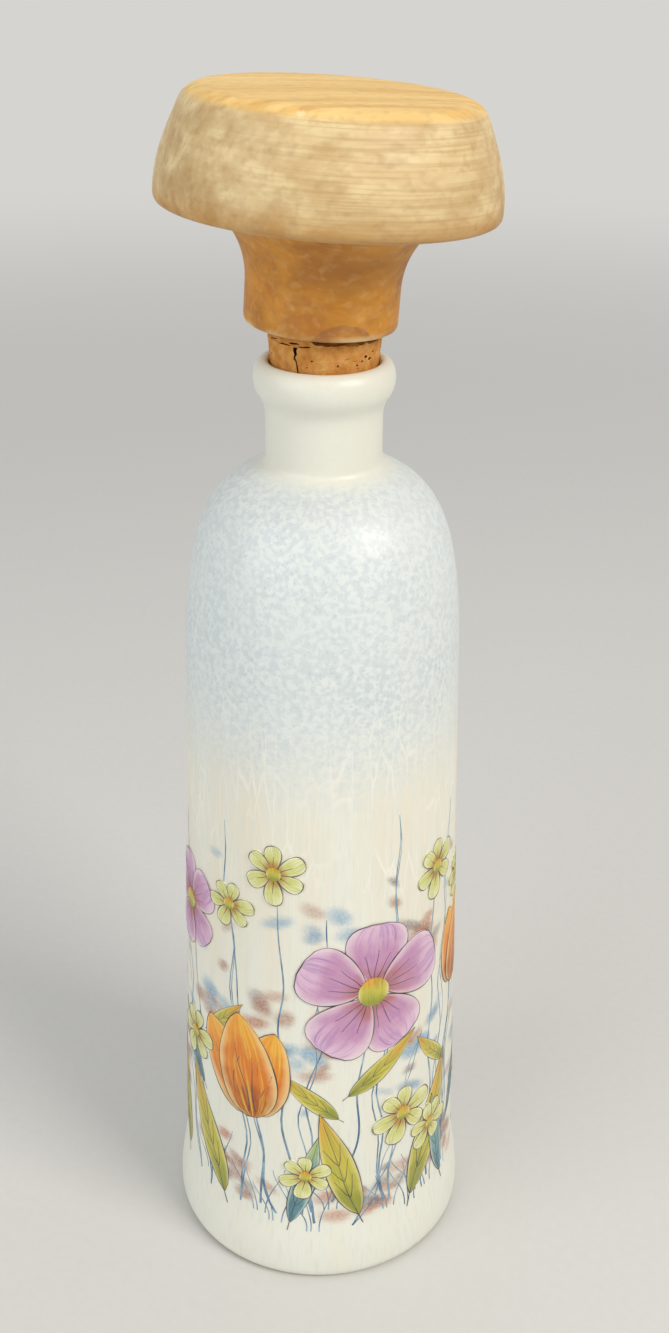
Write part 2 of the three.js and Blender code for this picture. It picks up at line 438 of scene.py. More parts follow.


# Satin majolica glaze, sprayed and sponged on: soft to the eye and never mirror bright, with a
# blue-grey mottle round the shoulder on a cool ground that is partly painted bluish shade, faint warm runs
# below it and a fine upright craze.
def glazeMaterial():
    look = bottlePlan["glaze"]
    material, shader = newMaterial("satin majolica glaze")
    where = addNode(material, "TexCoord").outputs["Object"]
    height = addNode(material, "SeparateXYZ", {0: where}).outputs["Z"]
    grains, bands, levels, layers = {}, {}, {}, {}
    for name, (wide, tall, detail) in look["grains"].items():
        scale = (1 / (wide * mm), 1 / (wide * mm), 1 / (tall * mm))
        scaled = addNode(material, "Mapping", {0: where, 3: scale})
        grains[name] = addNode(material, "TexNoise", {"Vector": scaled, "Scale": 1, "Detail": detail})
    for name, (low, high, below, above, change) in look["bands"].items():
        bands[name] = addNode(material, "MapRange", {0: height, 1: low * mm, 2: high * mm, 3: below, 4: above},
                              interpolation_type=change)
    for name, (grain, low, high, least, most) in look["levels"].items():
        levels[name] = addNode(material, "MapRange", {0: grains[grain], 1: low, 2: high, 3: least, 4: most})

    # how strong each layer may get: warm runs and streaks below, the sponged mottle on the shoulder
    warm = addNode(material, "Math", {0: bands["lower"], 1: bands["aboveFoot"]}, operation="MULTIPLY")
    streaky = addNode(material, "Math", {0: bands["lower"], 1: look["streakShare"]}, operation="MULTIPLY")
    # the cool shoulder band, partly painted bluish shade
    cool = addNode(material, "Math", {0: bands["rising"], 1: bands["leaving"]}, operation="MULTIPLY")
    mottled = addNode(material, "Math", {0: cool, 1: levels["mottle"]}, operation="MULTIPLY")
    speckled = addNode(material, "Math", {0: mottled, 1: look["speckShare"]}, operation="MULTIPLY")
    for name, most in (("runs", warm), ("streaks", streaky), ("dabs", mottled), ("specks", speckled),
                       ("crazePatches", bands["crazed"])):
        grain, low, high, change = look["layers"][name]
        layers[name] = addNode(material, "MapRange", {0: grains[grain], 1: low, 2: high, 4: most},
                               interpolation_type=change)

    # faint craze lines in patches at mid height, tall cells as in a glaze pulled down by its own weight
    bend = addNode(material, "TexNoise", {"Vector": where, "Scale": 1 / (look["crazeBend"] * mm), "Detail": 2})
    sway = [look["crazeSway"] * mm] * 3
    wavy = addNode(material, "VectorMath", {0: bend.outputs["Color"], 1: sway, 2: where},
                   operation="MULTIPLY_ADD")
    upright = addNode(material, "Mapping", {0: wavy, 3: (1, 1, look["crazeUpright"])})
    cells = addNode(material, "TexVoronoi", {"Vector": upright, "Scale": 1 / (look["crazeCell"] * mm)},
                    feature="DISTANCE_TO_EDGE")
    faint = addNode(material, "Math", {0: layers["crazePatches"], 1: streaky}, operation="MULTIPLY")
    outer, core = look["crazeLineWidth"]
    craze = addNode(material, "MapRange", {0: cells, 1: outer, 2: core, 4: faint})

    # soft washes of colour daubed on the wall before the drawing
    wash = addNode(material, "Attribute", attribute_name="wash")
    washed = addNode(material, "Math", {0: wash.outputs["Alpha"], 1: levels["washGrain"]}, operation="MULTIPLY",
                     use_clamp=True)

    color = hexColor(look["white"])
    for layer, over in (
        (layers["runs"], hexColor(look["warmRun"])),
        (layers["streaks"], hexColor(look["streak"])),
        (bands["onNeck"], hexColor(look["neck"])),
        (cool, hexColor(look["shoulder"])),
        (layers["dabs"], hexColor(look["sponge"])),
        (layers["specks"], hexColor(look["spongeDeep"])),
        (craze, hexColor(look["crazeLine"])),
        (washed, wash.outputs["Color"]),
        (bands["wipedFoot"], hexColor(look["bareClay"])),  # the ring it stands on, bare for the kiln
    ):
        color = addNode(material, "Mix", {0: layer, 6: color, 7: over}, data_type="RGBA")
    rough = addNode(material, "Mix", {0: bands["wipedFoot"], 2: levels["roughness"], 3: look["clayRough"]})
    normal = {}
    for grain, strength, proud in look["relief"]:
        normal["Normal"] = addNode(material, "Bump", {"Height": grains[grain], "Strength": strength,
                                                      "Distance": proud * mm, **normal})
    plug(material, shader, {"Base Color": color, "Roughness": rough, "IOR": look["ior"], **normal})
    return material


def makeBottle():
    points = underProfile + outsideProfile[1:] + insideProfile[1:]
    piece = turnPiece("glazed_bottle", points, bottlePlan["steps"])
    sculpt(piece, outOfTrue)
    piece.data.materials.append(glazeMaterial())
    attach(piece, "bottle")
    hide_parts("bottle")
    print("bottle turned:", len(piece.data.polygons), "faces")
    return piece


# Painted meadow, drawn flat in mm, across from the front line and up from the ground, then rolled
# round the wall.
meadow = {
    "rollRadius": 41,
    "wobble": 0.7,  # of the hand
    "wobbleSize": 16,
    "film": 0.6,  # thickness of a fill, most of it sunk in the glaze
    "lift": 0.07,
    "layerStep": 0.05,  # so that each coat covers the lines of the one under it
    "bloomLayer": 3,  # the coat that flowers start on, over the leaves
    "bloomStep": 0.3,  # and what keeps neighbours apart
    "eyeLayer": 6.5,
    "bladeGrid": (6, 18),  # faces of a fill across and along
    "bladeEnd": 0.004,  # share of its length that stays blunt
    "lineFlat": 0.12,  # a drawn line is this much flatter than round
    "lineProud": 0.015,
    "outlineSwell": (0.75, 0.3, 0.43),  # thickness of an outline, its swing and its pace
    "strokeEnds": (0.8, 0.35),  # thick at the start, drawn out to a hair
    "strokeBows": [(0.35, 1.3), (0.7, -0.5)],  # two places along it: bowed out, then a little back
    "strokeSteps": (14, 30),  # of a plain one and a wavy one
    "waveLength": 36,
    "stem": (1.1, 0.9),  # width and wave of a line
    "grassStrokes": [(0.85, 1.8), (0.65, 1.8)],
    "tuft": 0.6,
    "tuftLeans": (-9, -4, 6),
    "tuftHeight": 13,
    "blooms": [  # kind, across, up, turn in degrees, size, where its stem starts, bow of the stem
        ("rose", 16, 106, 8, 1.0, (4, 30), -7),
        ("rose", -49, 122, -14, 0.66, (-33, 34), 6),
        ("cup", -20, 60, -9, 1.0, (-12, 24), 3),
        ("cup", 53, 92, 14, 0.8, (37, 26), 5),
        ("star", -13, 146, 0, 1.0, (-6, 28), 4),
        ("star", -28, 131, 20, 0.85, (-17, 26), -5),
        ("star", 40, 139, 10, 1.0, (33, 27), -5),
        ("star", 56, 128, 30, 0.8, (46, 25), 5),
        ("star", 26, 58, 15, 1.1, (22, 26), 2),
        ("star", 38, 47, 40, 0.9, (30, 24), 3),
        ("star", -45, 76, 25, 1.0, (-36, 30), 4),
        ("star", -4, 40, 5, 0.85, (-1, 22), 1),
        ("rose", 118, 112, 6, 0.9, (110, 28), -6),
        ("cup", 92, 66, -10, 0.95, (98, 24), -4),
        ("cup", -106, 88, 8, 1.0, (-101, 26), -5),
        ("rose", -84, 70, -10, 0.7, (-78, 24), 5),
        ("star", 84, 124, 15, 0.95, (88, 26), 4),
        ("star", 128, 62, 0, 1.0, (121, 26), 3),
        ("star", -92, 132, 30, 1.0, (-95, 26), -4),
        ("star", -74, 110, 10, 0.85, (-70, 25), 4),
        ("star", -122, 52, 20, 1.05, (-117, 24), 2),
        ("star", 72, 46, 30, 0.9, (76, 22), 2),
    ],
    "leaves": [  # paint, across, up, turn, size
        ("leaf", -30, 24, -22, 1.0), ("teal", -8, 22, 14, 0.8), ("leaf", 12, 24, -16, 0.95),
        ("leaf", 30, 24, 20, 1.1), ("teal", 44, 22, -8, 0.8), ("leaf", 9, 70, 52, 0.62),
        ("leaf", 6, 62, -48, 0.55), ("teal", -40, 60, -38, 0.6), ("leaf", -38, 82, 42, 0.5),
        ("leaf", 46, 66, -40, 0.5), ("teal", 50, 40, 30, 0.75), ("leaf", -52, 26, -14, 0.85),
        ("leaf", 70, 24, 12, 0.95), ("teal", 84, 24, -18, 0.8), ("leaf", 104, 24, 18, 1.05),
        ("leaf", 124, 24, -14, 0.9), ("teal", 114, 64, 46, 0.55), ("leaf", 109, 70, -44, 0.55),
        ("leaf", -72, 24, 16, 1.0), ("teal", -90, 22, -14, 0.85), ("leaf", -108, 24, 12, 1.0),
        ("leaf", -124, 22, -20, 0.85), ("leaf", -102, 56, -46, 0.5), ("teal", -80, 46, 44, 0.5),
    ],
    "grass": [  # root, tip, two bows: a blade is two thin strokes from one root to one tip
        ((-42, 24), (-55, 150), 5, 9), ((-24, 24), (-30, 158), -5, -8), ((-2, 26), (2, 132), 4, 7),
        ((20, 26), (24, 162), 5, 8), ((34, 30), (50, 156), -6, -9), ((46, 24), (62, 132), 5, 8),
        ((-36, 22), (-62, 98), -6, -9), ((10, 20), (34, 84), -5, -7), ((64, 24), (74, 148), -4, -7),
        ((88, 24), (96, 156), 5, 8), ((112, 24), (104, 146), -5, -8), ((126, 24), (126, 134), 4, 7),
        ((-66, 24), (-70, 144), 4, 7), ((-86, 24), (-82, 152), -5, -8), ((-112, 24), (-116, 140), 5, 8),
    ],
    "washes": [  # across, up, spread across, spread up, dabs, colours
        (-26, 34, 14, 9, 14, "earth"), (14, 32, 16, 8, 14, "earth"), (46, 36, 12, 9, 13, "earth"),
        (-6, 84, 10, 10, 8, "sky"), (32, 80, 10, 12, 8, "sky"), (-36, 96, 9, 12, 10, "sky"),
        (0, 128, 14, 12, 8, "sky"), (36, 116, 10, 12, 8, "earth"), (-14, 100, 8, 8, 6, "earth"),
        (60, 64, 8, 16, 8, "sky"), (-56, 56, 9, 14, 8, "earth"), (84, 40, 16, 9, 14, "earth"),
        (114, 44, 14, 12, 13, "earth"), (100, 96, 12, 14, 10, "sky"), (-76, 36, 14, 9, 13, "earth"),
        (-108, 40, 14, 10, 13, "earth"), (-96, 108, 12, 14, 10, "sky"), (126, 92, 9, 14, 8, "sky"),
    ],
    "washColors": {"earth": ["#BA8166", "#A4705A", "#806C6C"], "sky": ["#93B1C6", "#7B9FBC", "#B48C7A"]},
    "dab": {"length": (2.8, 5.5), "breadth": (1.6, 2.8), "slant": (-0.6, 0.6), "strength": (0.5, 0.9)},
    "touch": {"length": (1.8, 3.4), "breadth": (1.1, 1.8), "slant": (-0.9, 0.9), "strength": (0.45, 0.8)},
    "touchSteps": (0.35, 0.5, 0.62, 0.76, 0.88),  # up a blade of grass
    "touchStray": (-5, 5),
    "dabEdge": 2.2,  # how sharply a dab ends
    "dabLean": 0.3,  # how much thicker its right end is
    "dabMost": 0.9,
    "paints": {  # foot, body, tip, brush mark, thin edge
        "rose": ("#B26E66", "#C391B4", "#DDBBD2", "#A274B2", "#E9D9DD"),
        "cup": ("#A9521D", "#DB7A22", "#EC9E36", "#F3CF52", "#F2DDA0"),
        "leaf": ("#97993A", "#C6BC49", "#E0A63E", "#7F8B3C", "#E4DFA6"),
        "teal": ("#45727E", "#79A3A4", "#B4C274", "#4F86A2", "#D9E3D6"),
        "star": ("#B98A3C", "#D3D486", "#E6E6B4", "#A9AE55", "#F0EED2"),
    },
    "poolSize": 7,  # of the wet paint
    "poolReach": 0.35,
    "paintRuns": [(0.05, 0.45), (0.5, 0.95)],  # along a petal, where its body and its tip come in
    "brushHairs": (16, 1.6, 1),  # marks across and along a petal
    "hairLevels": (0.5, 0.72, 0.75),  # where the marks come in, and how strongly
    "thinEdge": (0.34, 0.5, 0.75),  # out from the middle of a petal, and how thin
    "thinRagged": 0.2,
    "paintRelief": (0.15, 0.05),
    "lineDry": 6,  # how often a line's brush runs dry
    "lineLevels": (0.38, 0.68),
    "inkLine": ("#3B3840", "#7B7470"),  # wet, dry
    "blueLine": ("#4A6C8C", "#9DBACB"),
    "paintRough": 0.38,
    "lineRough": 0.4,
    "blades": {  # rise and fall set where a blade is widest and how blunt its ends are
        "rose": {"length": 22, "width": 21, "rise": 0.75, "fall": 0.36, "line": 0.42,
                 "veins": [((0, 1), (-4, 11), 1), ((0, 1), (0.5, 13), 0.6), ((0, 1), (4.5, 11), -1)]},
        "cup": {"length": 37, "width": 20, "rise": 0.42, "fall": 0.66, "line": 0.45,
                "veins": [((-1, 2), (-2.5, 26), -2), ((1.5, 2), (3, 22), 1.6)]},
        "leaf": {"length": 44, "width": 10.5, "rise": 0.72, "fall": 1.05, "line": 0.42,
                 "veins": [((0, -4), (0, 40), 0.8), ((0, 8), (-3.4, 16), 0.6), ((0, 8), (3.4, 17), -0.6),
                           ((0, 15), (-3.8, 23), 0.6), ((0, 15), (3.6, 24), -0.6), ((0, 22), (-3, 30), 0.5),
                           ((0, 22), (2.8, 31), -0.5)]},
        "star": {"length": 8.2, "width": 5.4, "rise": 0.7, "fall": 0.38, "line": 0.36,
                 "veins": [((0, 1), (0.2, 4.6), 0.2)]},
    },
    "petals": {  # turn, how far out of the middle, size; later ones lie on top
        "rose": [(t + random.uniform(-7, 7), 2.5, random.uniform(0.9, 1.06)) for t in (0, 144, 288, 72, 216)],
        "cup": [(-21, 0, 0.9), (22, 0, 0.87), (1, -1, 0.98)],
        "star": [(t + random.uniform(-6, 6), 1.2, random.uniform(0.9, 1.1)) for t in range(0, 360, 60)],
    },
    "eyes": {"rose": 4.6, "star": 2.1},
    "eyeSides": 24,
}
meadow["blades"]["teal"] = dict(meadow["blades"]["leaf"], width=8)


# Each paint is a thin coloured glaze, brushed on wet: it runs from the foot of a petal to its tip,
# shows the hairs of the brush and thins out to the ivory under it along the edges.
def paintMaterial(name):
    foot, body, tip, mark, edge = [hexColor(code) for code in meadow["paints"][name]]
    material, shader = newMaterial("majolica " + name)
    where = addNode(material, "TexCoord").outputs["Object"]
    onBlade = addNode(material, "UVMap", uv_map="UVMap")
    parts = addNode(material, "SeparateXYZ", {0: onBlade}).outputs
    pool = addNode(material, "TexNoise", {"Vector": where, "Scale": 1 / (meadow["poolSize"] * mm), "Detail": 3})
    hairs = addNode(material, "Mapping", {0: onBlade, 3: meadow["brushHairs"]})
    brush = addNode(material, "TexNoise", {"Vector": hairs, "Scale": 1, "Detail": 4, "Distortion": 0.5})
    uneven = addNode(material, "MapRange", {0: pool, 3: -meadow["poolReach"], 4: meadow["poolReach"]})
    run = addNode(material, "Math", {0: parts["Y"], 1: uneven}, operation="ADD")
    low, high = [addNode(material, "MapRange", {0: run, 1: start, 2: end}, interpolation_type="SMOOTHSTEP")
                 for start, end in meadow["paintRuns"]]
    start, end, most = meadow["hairLevels"]
    marks = addNode(material, "MapRange", {0: brush, 1: start, 2: end, 4: most})
    side = addNode(material, "Math", {0: parts["X"], 1: 0.5}, operation="SUBTRACT")
    out = addNode(material, "Math", {0: side}, operation="ABSOLUTE")
    ragged = addNode(material, "Math", {0: uneven, 1: meadow["thinRagged"], 2: out}, operation="MULTIPLY_ADD")
    start, end, most = meadow["thinEdge"]
    thin = addNode(material, "MapRange", {0: ragged, 1: start, 2: end, 4: most})
    color = foot
    for layer, over in ((low, body), (high, tip), (marks, mark), (thin, edge)):
        color = addNode(material, "Mix", {0: layer, 6: color, 7: over}, data_type="RGBA")
    strength, proud = meadow["paintRelief"]
    relief = addNode(material, "Bump", {"Height": brush, "Strength": strength, "Distance": proud * mm})
    plug(material, shader, {"Base Color": color, "Roughness": meadow["paintRough"], "Normal": relief,
                            "IOR": bottlePlan["glaze"]["ior"]})
    return material


# Drawn lines are a dark glaze from a fine brush, thinner where it was running dry.
def lineMaterial(name, wet, dry):
    material, shader = newMaterial("majolica " + name)
    where = addNode(material, "TexCoord").outputs["Object"]
    brush = addNode(material, "TexNoise", {"Vector": where, "Scale": 1 / (meadow["lineDry"] * mm), "Detail": 4})
    color = addNode(material, "ValToRGB", {0: brush}, stops=zip(meadow["lineLevels"], (wet, dry)))
    plug(material, shader, {"Base Color": color, "Roughness": meadow["lineRough"],
                            "IOR": bottlePlan["glaze"]["ior"]})
    return material


paints = {name: paintMaterial(name) for name in meadow["paints"]}
inkLine = lineMaterial("ink line", *meadow["inkLine"])
blueLine = lineMaterial("blue line", *meadow["blueLine"])


def rollOn(piece):  # from the flat drawing onto the wall
    def roll(place):
        hand = noise.noise_vector(place / (meadow["wobbleSize"] * mm)) * meadow["wobble"] * mm
        across, up = place.x + hand.x, place.z + hand.z
        turn = across / (meadow["rollRadius"] * mm)
        radius = float(numpy.interp(up / mm, wallHeights, wallRadii)) * mm
        outward = Vector((math.sin(turn), -math.cos(turn), 0))
        return outOfTrue(outward * radius + Vector((0, 0, up))) - outward * place.y

    sculpt(piece, roll)


def inked(curve, width, material):  # a curve made a flat tube of paint
    curve.data.bevel_depth = width / 2 * mm
    curve.data.bevel_resolution = 1
    curve.data.use_fill_caps = True
    pickOnly(curve)
    bpy.ops.object.convert(target="MESH")
    line = bpy.context.object
    line.data.materials.clear()
    line.data.materials.append(material)
    sculpt(line, lambda place: Vector((place.x, place.y * meadow["lineFlat"], place.z)))
    bpy.ops.object.shade_smooth()
    return line


def brushStroke(start, end, bow, width, material, wave=0):
    bpy.ops.object.select_all(action="DESELECT")
    bpy.ops.curve.primitive_bezier_curve_add(location=(0, 0, 0))
    curve = bpy.context.object
    plainSteps, wavySteps = meadow["strokeSteps"]
    curve.data.resolution_u = wavySteps if wave else plainSteps
    first, last = curve.data.splines[0].bezier_points
    low, high = Vector((start[0], 0, start[1])) * mm, Vector((end[0], 0, end[1])) * mm
    reach = high - low
    side = reach.cross(Vector((0, 1, 0))).normalized()
    aside = side * bow * mm
    for point, place in ((first, low), (last, high)):
        point.handle_left_type = point.handle_right_type = "FREE"
        point.co = point.handle_left = point.handle_right = place
    first.handle_right, last.handle_left = [low.lerp(high, along) + aside * out
                                            for along, out in meadow["strokeBows"]]
    first.radius, last.radius = meadow["strokeEnds"]
    line = inked(curve, width, material)
    phase = random.uniform(0, math.tau)

    def sway(place):
        along = (place - low).dot(reach) / reach.length_squared
        swing = math.sin(phase + math.tau * along * reach.length / (meadow["waveLength"] * mm))
        return place + side * wave * mm * 4 * along * (1 - along) * swing

    if wave:
        sculpt(line, sway)
    return line


def selectVerts(piece, wanted):
    mesh = bmesh.from_edit_mesh(piece.data)
    for vert in mesh.verts:
        vert.select = wanted(vert.co)
    mesh.select_flush_mode()
    bmesh.update_edit_mesh(piece.data)


def filmed(piece, paint):  # a flat fill gets the thickness of its paint
    film = piece.modifiers.new("film", "SOLIDIFY")
    film.thickness = meadow["film"] * mm
    film.offset = -1
    pickOnly(piece)
    bpy.ops.object.modifier_apply(modifier=film.name)
    piece.data.materials.append(paints[paint])


def paintBlade(kind):
    shape = meadow["blades"][kind]
    rise, fall, length = shape["rise"], shape["fall"], shape["length"]
    peak = rise / (rise + fall)
    acrossFaces, alongFaces = meadow["bladeGrid"]
    bpy.ops.object.select_all(action="DESELECT")
    bpy.ops.mesh.primitive_grid_add(x_subdivisions=acrossFaces, y_subdivisions=alongFaces, size=1,
                                    location=(0, 0, 0))
    blade = bpy.context.object
    bpy.ops.object.mode_set(mode="EDIT")
    bpy.ops.transform.translate(value=(0, 0.5, 0))
    for row in sorted({round(vert.co.y, 4) for vert in bmesh.from_edit_mesh(blade.data).verts}):
        along = min(max(row, meadow["bladeEnd"]), 1 - meadow["bladeEnd"])
        wide = (along / peak) ** rise * ((1 - along) / (1 - peak)) ** fall
        selectVerts(blade, lambda place: abs(place.y - row) < 0.001)
        bpy.ops.transform.resize(value=(wide * shape["width"] / length, 1, 1), center_override=(0, row, 0))
    bpy.ops.mesh.select_all(action="SELECT")
    bpy.ops.transform.resize(value=[length * mm] * 3, center_override=(0, 0, 0))
    bpy.ops.mesh.region_to_loop()
    bpy.ops.mesh.duplicate()
    bpy.ops.mesh.separate(type="SELECTED")
    bpy.ops.object.mode_set(mode="OBJECT")
    rim = next(piece for piece in bpy.context.selected_objects if piece != blade)
    for piece in (blade, rim):
        piece.rotation_euler.x = math.radians(90)
    bpy.ops.object.transform_apply(location=True, rotation=True, scale=True)
    filmed(blade, kind)
    bpy.ops.object.shade_smooth_by_angle(angle=math.radians(cutCrease))

    # its outline, pressed on harder here and there, and its veins
    pickOnly(rim)
    bpy.ops.object.convert(target="CURVE")
    rim = bpy.context.object
    thick, swing, pace = meadow["outlineSwell"]
    for spline in rim.data.splines:
        for i, point in enumerate(spline.points):
            point.radius = thick + swing * math.sin(i * pace)
    lines = [inked(rim, shape["line"], inkLine)]
    lines += [brushStroke(start, end, bow, shape["line"], inkLine) for start, end, bow in shape["veins"]]
    for line in lines:
        sculpt(line, lambda place: place - Vector((0, meadow["lineProud"] * mm, 0)))
    return joined("flat_" + kind, [blade, *lines])


def paintEye():  # the middle of a flower
    bpy.ops.object.select_all(action="DESELECT")
    bpy.ops.mesh.primitive_circle_add(vertices=meadow["eyeSides"], radius=mm, fill_type="TRIFAN",
                                      location=(0, 0, 0))
    eye = bpy.context.object
    eye.rotation_euler.x = math.radians(90)
    bpy.ops.object.transform_apply(location=True, rotation=True, scale=True)
    filmed(eye, "leaf")
    return eye


def placeCopy(master, across, up, turn, size, layer):
    copy = master.copy()
    copy.data = master.data.copy()
    bpy.context.scene.collection.objects.link(copy)
    copy.data.transform(
        Matrix.Translation(Vector((across, -meadow["lift"] - meadow["layerStep"] * layer, up)) * mm)
        @ Matrix.Rotation(math.radians(turn), 4, "Y") @ Matrix.Diagonal((size, 1, size, 1)))
    return copy


def paintMeadow():
    masters = {kind: paintBlade(kind) for kind in meadow["blades"]}
    eye = paintEye()
    blooms, leaves, lines = [], [], []
    for bloom, (kind, across, up, turn, size, root, bow) in enumerate(meadow["blooms"]):
        stemWidth, stemWave = meadow["stem"]
        lines.append(brushStroke(root, (across, up), bow, stemWidth, blueLine, stemWave))
        ground = meadow["bloomLayer"] + bloom % 3 * meadow["bloomStep"]
        for layer, (petalTurn, out, petalSize) in enumerate(meadow["petals"][kind]):
            angle = math.radians(petalTurn + turn)
            blooms.append(placeCopy(masters[kind], across + math.sin(angle) * out * size,
                                    up + math.cos(angle) * out * size, petalTurn + turn,
                                    petalSize * size, ground + layer))
        if kind in meadow["eyes"]:
            eyeSize = meadow["eyes"][kind] * size
            blooms.append(placeCopy(eye, across, up, 0, eyeSize, ground + meadow["eyeLayer"]))
        for lean in meadow["tuftLeans"]:  # a few short blades at its root
            tip = (root[0] + lean + random.uniform(-2, 2),
                   root[1] + meadow["tuftHeight"] * random.uniform(0.7, 1.2))
            start = (root[0] + lean / 4, root[1] - 3)
            lines.append(brushStroke(start, tip, lean / 4, meadow["tuft"], blueLine))
    for paint, across, up, turn, size in meadow["leaves"]:
        leaves.append(placeCopy(masters[paint], across, up, turn, size, len(leaves) % 3))
    for root, tip, *bows in meadow["grass"]:
        for bow, (width, wave) in zip(bows, meadow["grassStrokes"]):
            lines.append(brushStroke(root, tip, bow, width, blueLine, wave))
    for name, pieces in (("painted_blooms", blooms), ("painted_leaves", leaves), ("painted_stems", lines)):
        piece = joined(name, pieces)
        rollOn(piece)
        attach(piece, "bottle")
        print(name, "on the wall:", len(piece.data.polygons), "faces")
    for master in [*masters.values(), eye]:
        bpy.data.objects.remove(master)


def wallDabs():  # across, up, half length, half breadth, slant, colour, strength
    dab, touch, colors = meadow["dab"], meadow["touch"], meadow["washColors"]
    dabs = []
    for middle, up, wide, tall, count, tints in meadow["washes"]:
        for _ in range(count):
            dabs.append((random.gauss(middle, wide / 2), random.gauss(up, tall / 2),
                         random.uniform(*dab["length"]), random.uniform(*dab["breadth"]),
                         random.uniform(*dab["slant"]), random.choice(colors[tints]),
                         random.uniform(*dab["strength"])))
    for root, tip, *_ in meadow["grass"]:  # touches beside the blades
        for step in meadow["touchSteps"]:
            across = root[0] + (tip[0] - root[0]) * step + random.uniform(*meadow["touchStray"])
            up = root[1] + (tip[1] - root[1]) * step + random.uniform(*meadow["touchStray"])
            tint = random.choice(colors["earth"] + colors["sky"])
            dabs.append((across, up, random.uniform(*touch["length"]), random.uniform(*touch["breadth"]),
                         random.uniform(*touch["slant"]), tint, random.uniform(*touch["strength"])))
    return dabs


def washWall(piece):  # dabs of thin colour, kept on the bottle's points
    places = numpy.array([vert.co for vert in piece.data.vertices]) / mm
    across = numpy.arctan2(places[:, 0], -places[:, 1]) * meadow["rollRadius"]
    around = 2 * math.pi * meadow["rollRadius"]
    outside = numpy.hypot(places[:, 0], places[:, 1]) > numpy.interp(places[:, 2], wallHeights, wallRadii) - 1
    color = numpy.ones((len(places), 4)) * hexColor(bottlePlan["glaze"]["white"])
    color[:, 3] = 0
    for dabAcross, dabUp, length, breadth, slant, tint, strength in wallDabs():
        x = (across - dabAcross + around / 2) % around - around / 2
        z = places[:, 2] - dabUp
        far = ((x * math.cos(slant) + z * math.sin(slant)) / length) ** 2
        far += ((z * math.cos(slant) - x * math.sin(slant)) / breadth) ** 2
        lean = (1 + meadow["dabLean"] * x / length).clip(0.55, 1.35)
        thick = numpy.exp(-far ** meadow["dabEdge"]) * strength * lean * outside
        thick = thick.clip(0, meadow["dabMost"])
        share = (thick / numpy.maximum(color[:, 3] + thick - color[:, 3] * thick, 1e-6))[:, None]
        color[:, :3] = color[:, :3] * (1 - share) + numpy.array(hexColor(tint)[:3]) * share
        color[:, 3] += thick - color[:, 3] * thick
    wash = piece.data.color_attributes.new("wash", "FLOAT_COLOR", "POINT")
    wash.data.foreach_set("color", color.ravel().astype(numpy.float32))
    print("wall washed with thin colour")


# knob, in mm: its own frame stands upright on the cork
knobPlan = {
    "lean": 3.4,  # degrees towards +X
    "shift": -1.1,
    "seat": 287.2,
    "stemRadius": 19.5,
    "stemEdge": 1.8,
    "stemStraight": 10,
    "coveRise": 18.4,
    "undersideWidth": 6,
    "capRadius": 42.6,
    "capRim": 2.2,
    "capSide": 20.7,
    "capTaper": 5.4,
    "capTilt": 22,  # degrees
    "capEase": 0.38,
    "capEdge": 4.3,
    "capEdgeWidth": 7.4,
    "capCrown": 0.5,
    "holeRadius": 5.1,
    "holeDepth": 22.3,
    "facet": 0.8,
    "steps": 260,
    "nickTurn": -12,  # degrees from the front, towards -X
    "nickOnEdge": (0.35, 0.7),  # how far in and up the cap's edge, as shares of it
    "nickSize": 1.3,
    "nickDepth": 0.8,
    "nickSlope": 0.4,  # how steeply it was knocked from above
    "nickBare": (0.6, 0.9),  # share of it that is bare all over, and how bare
    "beech": {
        "side": [(0.36, "#CBAE7D"), (0.5, "#D6BD8C"), (0.62, "#DFC896")],  # levels of the clouds, colours
        "top": [(0.32, "#DAAA58"), (0.62, "#E9C57B")],
        "line": "#B4925F",
        "blotch": "#B3823F",
        "stain": "#BD8A45",
        "endGrain": "#B28C55",
        # the stem's colours: its lacquer, darkened by painted shade under the cap
        "stem": "#CC8A24",
        "stemDark": "#AE6F20",
        "fleck": "#9B7444",
        "stemFleck": "#DDB26E",
        "arc": "#8A5433",
        # bare wood, also the painted highlight round the foot of the stem
        "bareAndGleam": "#E6CF9C",
        "grainTurn": -24,  # degrees from +X, so that end grain faces left and front
        "grains": {  # length, width, how finely it breaks up, twist
            "fibre": (120, 0.75, 2, 0),
            "streak": (70, 5, 4, 0.4),
            "cloud": (18, 8, 2.5, 0.5),
            "speck": (4, 1.8, 2, 0.3),
            "fleck": (3.2, 2, 1, 0.2),
        },
        "speckShare": 0.22,
        "latheLength": 45,  # tool marks round the cap, as coarse as they need to show
        "latheSpacing": 0.72,
        "latheLevels": (0.54, 0.38),
        "ringWidth": 6,
        "ringHeart": (0, -20, 35),  # from the heart of the tree, below and behind
        "ringLevels": (0.5, 1, 0, 0.16),
        "soaked": (0.35, 0.9, 0, 0.5),  # two shares of the cap's radius along the grain, strength at each
        "lineContrast": (0.4, 0.8, 0.45, 0.14),
        "endLevels": (0.6, 0.34),
        "stemLevels": (0.36, 0.62),
        "bands": {  # over which level, two heights, the strength at the second
            "low": ("capUnder", 8, 1, 1),
            "handled": ("capUnder", 6, 0.5, 0.8),
            "onTop": ("capTop", -2.6, -1.4, 1),
            "inStem": ("capUnder", 0.3, -3, 1),
            # a pale band at the foot of the stem: rubbed lacquer and painted highlight
            "rubbedAndLitFoot": ("foot", 2, 0.5, 0.8),
        },
        "levels": {  # a grain, two levels of it and the strength at each
            "patchy": ("cloud", 0.35, 0.6, 0.45, 1),
            "footPatches": ("cloud", 0.38, 0.6, 0.1, 1),
            "flecks": ("fleck", 0.5, 0.78, 0, 0.32),
            "roughness": ("fibre", 0.3, 0.7, 0.56, 0.44),
        },
        "blotchLevels": (0.42, 0.64),
        "arcPlace": (6.7, -19, -5),  # middle of the one dark growth ring low on the stem
        "arcRadius": 9.5,
        "arcBend": 3,
        "arcRim": 2,
        "arcEdge": 0.5,
        "arcStrength": (0.65, 0.32),
        "pores": (0.3, 0.1),  # how strongly and how deep they show
        "ior": 1.5,
    },
}


